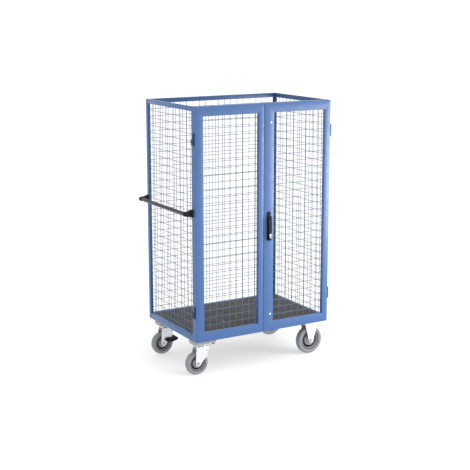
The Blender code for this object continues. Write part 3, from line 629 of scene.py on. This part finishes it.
def build_hinge(side, place):
    """A lift-off hinge: rolled knuckles with a fine gap, screwed leaves and a pin's crowned end."""
    at = Vector(joints[side + "_door_swing"]["pos_m"])
    inward = 1 if side == "left" else -1
    node = side + "_hinge_" + place
    post_low, post_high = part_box(node + "_post_half")
    door_low, door_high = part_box(node + "_door_half")
    leaf = sorted((at.x + inward * 0.0032, at.x + inward * 0.0062))
    face = at.x + inward * 0.0032
    screw = sorted((face + inward * 0.001, face - inward * 0.0009))
    for half, bottom, top, reach, body in (
        ("_post_half", post_low.z, door_low.z - 0.0004, post_high.y, "cage"),
        ("_door_half", door_low.z + 0.0002, door_high.z, door_high.y, side + "_door"),
    ):
        outline = rounded((at.y - 0.001, bottom + 0.0004), (reach, top - 0.0004), 0.003, 4)
        shapes = [pin(0.0055, "Z", bottom, top, at[:2], 0.0009, 28), prism(outline, "X", *leaf)]
        for share in (0.25, 0.75):
            spot = (at.y + (reach - at.y) * 0.62, bottom + (top - bottom) * share)
            shapes.append(pin(0.0032, "X", *screw, spot, 0.0006, 16))
        if half == "_post_half":
            shapes.append(pin(0.0030, "Z", top - 0.004, post_high.z, at[:2], 0.0008, 20))
        # Painted shade: the left hinges take the darkest painted-shade blue for the shade on that side; the
        # right hinges keep the plain blue.
        painted_shade_or_blue = PAINTED_DEEP_SHADE_BLUE if side == "left" else BLUE
        name = node + half + "_steel"
        make(name, merged(*shapes), painted_shade_or_blue, body, [node + half], bevel=0.0004)


# ---- The lock ----
LOCK = Vector(joints["lock_turn"]["pos_m"])
LIFT = Vector(joints["lever_lift"]["pos_m"])
KEY = Vector(joints["key_turn"]["pos_m"])
PLATE_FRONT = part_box("lock_plate")[0].y


def build_lock_plate():
    """The escutcheon, with a seat and a bore for the spindle."""
    low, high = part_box("lock_plate")
    rows = ((0.0, high.y + GAP), (0.0, low.y + 0.0026), (0.0007, low.y + 0.0009), (0.0024, low.y))
    shape = stepped_block((low.x, low.z), (high.x, high.z), "Y", rows, 0.012, 1, 10)
    plate = make("lock_escutcheon", shape, BLACK, "right_door", ["lock_plate"])
    cut(plate, pin(0.0114, "Y", low.y - PAST, low.y + 0.0012, (LOCK.x, LOCK.z)))
    cut(plate, pin(0.0075, "Y", low.y - PAST, high.y + PAST, (LOCK.x, LOCK.z)))


def build_lock_spindle():
    """The shaft through the door, with its disc and the lug and cross pin that carry the lever."""
    disc_back = PLATE_FRONT - GAP
    disc_front = disc_back - 0.0019
    shaft = pin(0.0070, "Y", disc_front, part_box("lock_spindle")[1].y, (LOCK.x, LOCK.z))
    disc = pin(0.0110, "Y", disc_front, disc_back, (LOCK.x, LOCK.z), 0.0004, 40)
    lug_outline = [(disc_back, LOCK.z - 0.004), (disc_back, LOCK.z + 0.004)]
    lug_outline += arc((LIFT.y, LIFT.z), 0.004, 90, 270, 10)
    lug = prism(lug_outline, "X", LOCK.x - 0.0038, LOCK.x + 0.0038)
    cross = pin(0.0020, "X", LOCK.x - 0.0100, LOCK.x + 0.0100, (LIFT.y, LIFT.z), 0.0003, 16)
    shape, node = merged(shaft, disc, lug, cross), "lock_spindle"
    make("lock_turning_spindle", shape, DARK_STEEL, node, [node], bevel=0.0003)


def cylinder_outline(grow):
    """The keyhole outline of a profile cylinder."""
    top = arc((KEY.x, KEY.z), 0.0085 + grow, -36, 216, 28)
    return top + arc((KEY.x, KEY.z - 0.0195), 0.005 + grow, 180, 360, 12)


def build_lock_lever():
    """The swing lever: rounded foot, a slot for the lug, a finger groove and a hole for the cylinder."""
    low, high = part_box("lock_lever")
    nose, back = low.y, high.y
    front_end, back_end = nose - 2 * PAST, back + 2 * PAST
    side = arc((LIFT.y, LIFT.z), 0.006, 0, 180, 10)
    side += [(nose, LIFT.z - 0.05), (nose, low.z + 0.014), (nose + 0.004, low.z + 0.003)]
    side += [(nose + 0.009, low.z), (back, low.z)]
    shape, node = prism(side, "X", low.x, high.x), "lock_lever"
    lever = make("lock_swing_lever", shape, BLACK, node, [node], bevel=0.0018, segments=4)

    half = (high.x - low.x) / 2
    foot = half - 0.0008
    drop = low.z - LIFT.z
    front = [(-half, 0.03), (-half, -0.05), (-foot, drop + foot + 0.002)]
    front += arc((0, drop + foot), foot, 180, 360, 14)
    front += [(foot, drop + foot + 0.002), (half, -0.05), (half, 0.03)]
    front = [(LOCK.x + x, LIFT.z + z) for x, z in front]
    cut(lever, prism(front, "Y", front_end, back_end), "INTERSECT")
    slot = rounded((LOCK.x - 0.0045, LIFT.z - 0.0135), (LOCK.x + 0.0045, LIFT.z + 0.03), 0.002)
    cut(lever, prism(slot, "Y", front_end, back_end))
    groove = rounded((LOCK.x - 0.0062, low.z + 0.062), (LOCK.x + 0.0062, LIFT.z - 0.024), 0.005, 8)
    cut(lever, prism(groove, "Y", front_end, nose + 0.0014))
    cylinder_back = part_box("lock_cylinder")[1].y
    cut(lever, prism(cylinder_outline(0.0005), "Y", front_end, cylinder_back + GAP))


def build_lock_cylinder():
    """The profile cylinder's housing, and its plug with a keyway."""
    low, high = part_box("lock_cylinder")
    plug_low, plug_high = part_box("lock_plug")
    shape, node = prism(cylinder_outline(0), "Y", low.y, high.y), "lock_cylinder"
    housing = make("lock_cylinder_housing", shape, STEEL, "lock_lever", [node], bevel=0.0004)
    cut(housing, pin(0.0065, "Y", low.y - PAST, plug_high.y + GAP, (KEY.x, KEY.z), 0.0001, 40))
    shape, node = pin(0.0063, "Y", plug_low.y, plug_high.y, (KEY.x, KEY.z), 0.0004, 40), "lock_plug"
    plug = make("lock_cylinder_plug", shape, STEEL, node, [node])
    keyway = [(-0.0009, -0.0042), (0.0009, -0.0042), (0.0009, -0.001)]
    keyway += [(0.0003, 0.0006), (0.0009, 0.0042), (-0.0009, 0.0042)]
    keyway = [(KEY.x + x, KEY.z + z) for x, z in blunted(keyway, 0.0004)]
    cut(plug, prism(keyway, "Y", plug_low.y - PAST, plug_low.y + 0.003))


def build_lock_works():
    """The two rods, and the gear case with its screws."""
    for node in ("lock_rod_upper", "lock_rod_lower"):
        low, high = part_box(node)
        middle = ((low.x + high.x) / 2, (low.y + high.y) / 2)
        make(node + "_bar", pin(0.0040, "Z", low.z, high.z, middle, 0.0009, 24), ZINC, node, [node])
    low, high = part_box("lock_case")
    shapes = [soft_box(low, high, 0.0012)]
    for z in (low.z + 0.006, high.z - 0.006):
        spot = ((low.x + high.x) / 2, z)
        shapes.append(hexagon_head(0.0030, "Y", high.y - 0.0005, high.y + 0.0012, spot))
    make("lock_gear_case", merged(*shapes), ZINC, "right_door", ["lock_case"])


# ---- The push handle ----
def build_push_bar():
    low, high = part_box("handle_bar")
    middle = ((low.x + high.x) / 2, (low.z + high.z) / 2)
    radius = (high.x - low.x) / 2
    bore = radius - 0.002
    shape = lathe([(radius, low.y), (radius, high.y), (bore, high.y), (bore, low.y)], "Y", 48, middle=middle)
    make("push_bar_tube", shape, GRIP, "cage", ["handle_bar"])
    build_bracket("handle_bracket_front", middle, 1)
    build_bracket("handle_bracket_rear", middle, -1)


def build_bracket(node, middle, inward):
    """A moulded bracket: a collar for the bar, a dished inner side, an end cap and two screws."""
    low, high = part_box(node)
    x, z = middle
    collar = x - low.x
    base = high.x
    outline = [(base, high.z), (base - 0.009, high.z), (base - 0.020, z + 0.0205)]
    outline += [(x + 0.015, z + collar - 0.0005)]
    outline += arc(middle, collar, 84, 264, 20)
    outline += [(x + 0.013, z - collar - 0.0005), (base - 0.018, z - 0.0215)]
    outline += [(base - 0.008, low.z), (base, low.z)]
    shape, name = prism(outline, "Y", low.y, high.y), node + "_moulding"
    bracket = make(name, shape, BLACK, "cage", [node], bevel=0.0030, segments=4)

    inner, outer = (high.y, low.y) if inward > 0 else (low.y, high.y)
    depth = 0.003
    dish = [(x + 0.023, z + 0.010), (base - 0.012, z + 0.014)]
    dish += [(base - 0.012, z - 0.014), (x + 0.023, z - 0.011)]
    cut(bracket, prism(blunted(dish, 0.004), "Y", inner - depth, inner + depth))
    start, end = aside(outer, -inward, 0, depth / 2)
    rim, lip = collar - 0.0045, collar - 0.0060
    ring = [(rim, start - 0.0004), (rim, end + 0.0004), (lip, end + 0.0004), (lip, start - 0.0004)]
    cap = pin(collar - 0.0062, "Y", start - 0.0002, end + 0.0002, middle, 0.0004, 40)
    shape = merged(lathe(ring, "Y", 40, middle=middle), cap)
    make(node + "_cap", shape, BLACK, "cage")
    spots = [((low.y + high.y) / 2, z + rise) for rise in (0.0165, -0.0165)]
    heads = [pin(0.0048, "X", base - 0.0112, base - 0.0078, spot, 0.0010, 24) for spot in spots]
    make(node + "_screws", merged(*heads), STEEL, "cage")


# ---- The castors ----
def build_wheel(name, body):
    """A cushioned tyre on a dished rim with its hub, and near-black rings of painted shade in the parting
    groove and the recess.
    """
    low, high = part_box(name + "_tyre")
    axle = (low + high) / 2
    radius, half = (high.x - low.x) / 2, (high.y - low.y) / 2
    middle = (axle.x, axle.z)

    def turn(profile):
        return lathe([(radius * r, axle.y + half * h) for r, h in profile], "Y", 96, middle=middle)

    def both(profile):
        return profile + [(r, -h) for r, h in reversed(profile)]

    # Profiles are shares of the tyre's radius and of half its width.
    tyre = [(0.705, 0.30), (0.705, 0.80), (0.725, 0.90), (0.76, 0.955), (0.80, 0.975), (0.835, 0.965)]
    tyre += [(0.842, 0.925), (0.850, 0.960), (0.88, 0.955), (0.915, 0.90), (0.948, 0.80), (0.972, 0.64)]
    tyre += [(0.988, 0.44), (0.997, 0.22), (1.0, 0.03)]
    make(name + "_tread", turn(both(tyre)), TYRE, body, [name + "_tyre"], smooth=50)

    bore = 0.0064 / radius
    rim = [(bore, 1.03), (0.185, 1.03), (0.205, 0.99), (0.212, 0.86), (0.24, 0.80), (0.30, 0.77)]
    rim += [(0.37, 0.70), (0.405, 0.60), (0.42, 0.24), (0.43, 0.20), (0.57, 0.20), (0.58, 0.24)]
    rim += [(0.592, 0.60), (0.605, 0.64), (0.630, 0.66), (0.645, 0.64), (0.65, 0.20), (0.60, 0.14)]
    make(name + "_hub", turn(both(rim)), RIM, body, [name + "_rim"], smooth=50)
    # Painted shade: near-black rings laid in the parting groove and in the rim's recess.
    parting = [(0.640, 0.34), (0.700, 0.34), (0.715, 0.36)]
    recess = [(0.425, 0.18), (0.425, 0.215), (0.575, 0.215), (0.575, 0.18)]
    shape = merged(turn(both(parting)), turn(both(recess)))
    make(name + "_painted_shade", shape, PAINTED_SHADE_BLACK, body)
    return axle


def build_fork(name, body, outline, rib, rivet=None):
    """A folded zinc fork with rounded bends, trimmed to its side outline, with axle, washers and nuts."""
    low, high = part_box(name + "_fork")
    tyre_low, tyre_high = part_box(name + "_tyre")
    axle = (tyre_low + tyre_high) / 2
    middle = (axle.x, axle.z)
    y, top, bottom = axle.y, high.z, low.z - 0.05
    air = 0.004
    inner = (tyre_high.y - tyre_low.y) / 2 + air
    outer = inner + FORK_SHEET
    bend, inner_bend, inner_top = 0.007, 0.003, top - 0.008
    section = [(-outer, bottom)]
    section += reversed(arc((bend - outer, top - bend), bend, 90, 180, 6))
    section += reversed(arc((outer - bend, top - bend), bend, 0, 90, 6))
    section += [(outer, bottom), (inner, bottom)]
    section += arc((inner - inner_bend, inner_top), inner_bend, 0, 90, 4)
    section += arc((inner_bend - inner, inner_top), inner_bend, 90, 180, 4)
    section += [(-inner, bottom)]
    section = [(y + u, v) for u, v in section]
    shape = prism(section, "X", axle.x - 0.15, axle.x + 0.15)
    fork = make(name + "_yoke", shape, ZINC, body, [name + "_fork"], bevel=0.0007)
    cut(fork, prism(blunted(outline, 0.010, 6), "Y", y - 0.1, y + 0.1), "INTERSECT")

    shapes = [pin(AXLE_RADIUS, "Y", y - outer - 0.0065, y + outer + 0.0065, middle, 0.0008, 24)]
    for sign in (-1, 1):
        shapes.append(pin(0.0115, "Y", *aside(y, sign, outer, outer + 0.0016), middle, 0.0003, 28))
        shapes.append(hexagon_head(0.0096, "Y", *aside(y, sign, outer, outer + 0.0064), middle))
    make(name + "_axle", merged(*shapes), STEEL, body)
    rib = blunted(rib, 0.006, 6)
    ribs = [prism(rib, "Y", *aside(y, sign, outer - 0.001, outer + 0.0011)) for sign in (-1, 1)]
    make(name + "_pressing", merged(*ribs), ZINC, body, bevel=0.0009, segments=3)
    if rivet:
        ends = [(y + sign * outer - 0.0006, y + sign * outer + 0.0006) for sign in (-1, 1)]
        heads = [pin(0.0036, "Y", *pair, rivet, 0.0002, 20) for pair in ends]
        make(name + "_rivets", merged(*heads), DARK_STEEL, body)


def build_bolts(name, spots, z, washer=0.0085):
    """Hexagon bolts with washers, heads down."""
    shapes = []
    for spot in spots:
        shapes.append(pin(washer, "Z", z - 0.0016, z, spot, 0.0003, 24))
        shapes.append(hexagon_head(washer * 0.88, "Z", z - 0.0076, z - 0.0016, spot))
    make(name, merged(*shapes), STEEL, "cage")


def plate_rows(top):
    """Rows of a 4 mm plate with softened edges, seated against what is above it."""
    return ((0.0006, top + GAP), (0.0, top - 0.0006), (0.0, top - 0.0034), (0.0006, top - 0.004))


def build_swivel_head(name, swivel):
    """A castor's fixed half: the spacer pad, the head plate with its ball race, the bolts and a stop."""
    low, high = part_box(name + "_pad")
    pad_bottom = low.z
    rows = ((0.0, high.z + GAP), (0.0, low.z + 0.013), (0.0008, low.z + 0.008), (0.0028, low.z + 0.0038))
    rows += ((0.0055, low.z + 0.0012), (0.010, low.z))
    shape = stepped_block(low, high, "Z", rows, 0.010, 1 / 3)
    make(name + "_spacer", shape, PAD, "cage", [name + "_pad"])

    low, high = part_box(name + "_plate")
    plate = stepped_block(low, high, "Z", plate_rows(high.z), 0.010)
    drops = ((0.024, 0.003), (0.033, 0.0045), (0.0365, 0.0070))
    drops += ((0.0375, 0.0095), (0.0360, 0.0112), (0.0330, 0.0122))
    profile = [(radius, high.z - drop) for radius, drop in drops] + [(0.020, low.z + 0.0002)]
    race = lathe(profile, "Z", 64, ring=False, middle=swivel[:2])
    make(name + "_head", merged(plate, race), ZINC, "cage", [name + "_plate"])
    spots = [(swivel.x + dx, swivel.y + dy) for dx in (-0.047, 0.047) for dy in (-0.027, 0.027)]
    build_bolts(name + "_head_bolts", spots, high.z - 0.004)
    spot = (swivel.x + 0.074, swivel.y - 0.028)
    stop = pin(0.0070, "Z", pad_bottom - 0.010, pad_bottom + 0.001, spot, 0.0012, 20)
    make(name + "_stop", stop, BLACK, "cage")


def build_swivel_castor(name):
    swivel = Vector(joints[name.replace("castor_", "") + "_swivel"]["pos_m"])
    body = name + "_swivel"
    axle = build_wheel(name, name + "_wheel")
    build_swivel_head(name, swivel)
    x, z = swivel.x, swivel.z
    drops = ((0.018, 0.0002), (0.034, 0.0002), (0.0352, 0.0030), (0.0330, 0.0062), (0.018, 0.0062))
    cup = lathe([(radius, z - drop) for radius, drop in drops], "Z", 64, middle=swivel[:2])
    king_bolt = hexagon_head(0.0105, "Z", z - 0.013, z - 0.005, swivel[:2])
    make(name + "_bearing", merged(cup, king_bolt), ZINC, body)
    outline = [(x - 0.047, z + 0.01), (x - 0.050, z - 0.012), (x - 0.0575, z - 0.040)]
    outline += [(x - 0.0595, axle.z + 0.016)]
    outline += arc((axle.x, axle.z), 0.018, 175, 320, 10)
    outline += [(x - 0.004, axle.z + 0.018), (x + 0.021, axle.z + 0.040), (x + 0.032, z - 0.045)]
    outline += [(x + 0.0365, z - 0.018), (x + 0.0355, z + 0.01)]
    rib = [(x - 0.036, z - 0.022), (x + 0.022, z - 0.022), (x + 0.015, z - 0.052), (x - 0.014, z - 0.082)]
    rib += [(x - 0.034, z - 0.092), (x - 0.044, z - 0.086), (x - 0.046, z - 0.050)]
    build_fork(name, body, outline, rib, rivet=(x + 0.024, z - 0.030))


def build_fixed_castor(name):
    axle = build_wheel(name, name + "_wheel")
    x, top = axle.x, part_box(name + "_fork")[1].z
    outline = [(x - 0.056, top + 0.01), (x - 0.053, top - 0.014), (x - 0.030, axle.z + 0.045)]
    outline += arc((x, axle.z), 0.018, 190, 350, 10)
    outline += [(x + 0.032, axle.z + 0.045), (x + 0.052, top - 0.050)]
    outline += [(x + 0.059, top - 0.018), (x + 0.060, top + 0.01)]
    rib = [(x - 0.034, top - 0.022), (x + 0.036, top - 0.022), (x + 0.029, top - 0.062)]
    rib += [(x + 0.011, axle.z + 0.028), (x - 0.010, axle.z + 0.028), (x - 0.024, top - 0.062)]
    build_fork(name, "cage", outline, rib)
    corners = (x - 0.060, axle.y - 0.048), (x + 0.062, axle.y + 0.048)
    make(name + "_flange", stepped_block(*corners, "Z", plate_rows(top), 0.008), ZINC, "cage")
    spots = [(x + dx, axle.y + dy) for dx in (-0.044, 0.045) for dy in (-0.0405, 0.0405)]
    build_bolts(name + "_flange_bolts", spots, top - 0.004, 0.0065)


def build_brake():
    """A ribbed black tread on two arms that straddle the fork."""
    body = "castor_rear_left_brake"
    hinge = Vector(joints["rear_left_brake_press"]["pos_m"])
    low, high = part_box("castor_rear_left_brake_pedal")
    half = (high.y - low.y) / 2
    end = high.x - hinge.x
    drop = low.z - hinge.z

    def placed(outline):
        return [(hinge.x + u, hinge.z + v) for u, v in outline]

    arm = [(-0.010, -0.009), (0.012, drop + 0.002), (0.050, drop + 0.0005), (end - 0.012, drop + 0.008)]
    arm += [(end - 0.012, 0.001), (end - 0.030, 0.004), (0.020, 0.008), (-0.005, 0.008)]
    parts = []
    for sign in (-1, 1):
        thick = aside(hinge.y, sign, half - 0.0052, half - 0.0012)
        parts.append(prism(placed(blunted(arm, 0.005)), "Y", *thick))
        thick = aside(hinge.y, sign, half - 0.0085, half + 0.0006)
        parts.append(pin(0.0042, "Y", *thick, (hinge.x, hinge.z), 0.0008, 20))
    make("brake_arms", merged(*parts), BLACK, body, bevel=0.0006)
    tread = [(end - 0.022, drop + 0.0060), (end - 0.010, drop + 0.0085), (end, drop + 0.015)]
    tread += [(end - 0.0015, 0.0005), (end - 0.004, 0.0022), (end - 0.022, 0.0034), (end - 0.026, 0.0020)]
    block = prism(placed(tread), "Y", low.y, high.y)
    ridge = [(end - 0.023, 0.0020), (end - 0.005, 0.0012), (end - 0.005, 0.0030), (end - 0.021, 0.0046)]
    ridges = []
    count = 11
    for k in range(count):
        y = low.y + (high.y - low.y) * (k + 0.5) / count
        ridges.append(prism(placed(ridge), "Y", y - 0.0021, y + 0.0021))
    node = ["castor_rear_left_brake_pedal"]
    make("brake_tread", merged(block, *ridges), BLACK, body, node, bevel=0.0009, segments=3)


# ---- Floor, light and camera ----
WHITE_LIGHT = (1.0, 1.0, 1.0, 1.0)
FLOOR_GLOW = 0.50  # keeps the floor white under the part without washing out its shadow
SKY_STRENGTH = 1.02
SUN_TRAVEL = Vector((-0.45, 0.60, -0.95))
FILL_PLACE = Vector((2.2, -1.9, 1.0))
FILL_TARGET = Vector((0.4, -0.3, 0.9))
CAMERA_REACH = Vector((-3.734, -6.315, 2.181))  # from the middle of the cage's underside
CAMERA_TILT, CAMERA_TURN = 12.11, -30.45  # degrees
LENS = 82.65  # millimetres, on a sensor 36 mm wide


def build_floor_and_sky():
    """A wide white floor under an even sky."""
    look = Look("studio_floor", 0.9, specular=0.05)
    look.colour(look.ramp(look.noise(1.3, 2), [(0.4, 0.54), (0.6, 0.56)]))
    look.shader.inputs["Emission Color"].default_value = WHITE_LIGHT
    look.shader.inputs["Emission Strength"].default_value = FLOOR_GLOW
    reach = 400
    corners = ((-reach, -reach), (reach, -reach), (reach, reach), (-reach, reach))
    loops = [[Vector((x, y, z)) for x, y in corners] for z in (0, -0.05)]
    floor = make("studio_floor", loft(loops), look.material, None)
    floor.location.z = -0.0005

    world = bpy.data.worlds.new("studio")
    bpy.context.scene.world = world
    world.use_nodes = True
    background = world.node_tree.nodes["Background"]
    background.inputs["Color"].default_value = WHITE_LIGHT
    background.inputs["Strength"].default_value = SKY_STRENGTH


def add_lamp(name, kind, energy, direction):
    """A lamp that shines along a direction."""
    light = bpy.data.lights.new(name, kind)
    light.energy = energy
    lamp = bpy.data.objects.new(name, light)
    bpy.context.scene.collection.objects.link(lamp)
    lamp.rotation_euler = direction.to_track_quat("-Z", "Y").to_euler()
    return lamp


def build_lights():
    """A soft sun from the front right, and a weak panel that lifts the doors."""
    sun = add_lamp("sun", "SUN", 0.8, SUN_TRAVEL)
    sun.data.angle = math.radians(40)
    fill = add_lamp("right_fill", "AREA", 14, FILL_TARGET - FILL_PLACE)
    fill.location = FILL_PLACE
    fill.data.size = 1.2
    fill.data.spread = math.radians(80)
    fill.visible_camera = False


def build_camera():
    data = bpy.data.cameras.new("camera")
    data.sensor_width = 36.0
    data.lens = LENS
    data.clip_end = 1500
    camera = bpy.data.objects.new("camera", data)
    bpy.context.scene.collection.objects.link(camera)
    camera.location = Vector((MIDDLE_X, MIDDLE_Y, UNDERSIDE)) + CAMERA_REACH
    camera.rotation_euler = (math.radians(90 - CAMERA_TILT), 0, math.radians(CAMERA_TURN))
    bpy.context.scene.camera = camera


build_floor_and_sky()
build_lights()
build_camera()
build_tubes()
build_welds()
build_floor()
for panel in WIRE_PANELS:
    build_wire_panel(*panel)
for hand in ("left", "right"):
    build_door(hand)
build_rod_guides()
for hand in ("left", "right"):
    for level in ("lower", "upper"):
        build_hinge(hand, level)
build_lock_plate()
build_lock_spindle()
build_lock_lever()
build_lock_cylinder()
build_lock_works()
build_push_bar()
for castor in ("castor_front_left", "castor_rear_left"):
    build_swivel_castor(castor)
for castor in ("castor_front_right", "castor_rear_right"):
    build_fixed_castor(castor)
build_brake()

bpy.context.scene.view_settings.view_transform = "Standard"
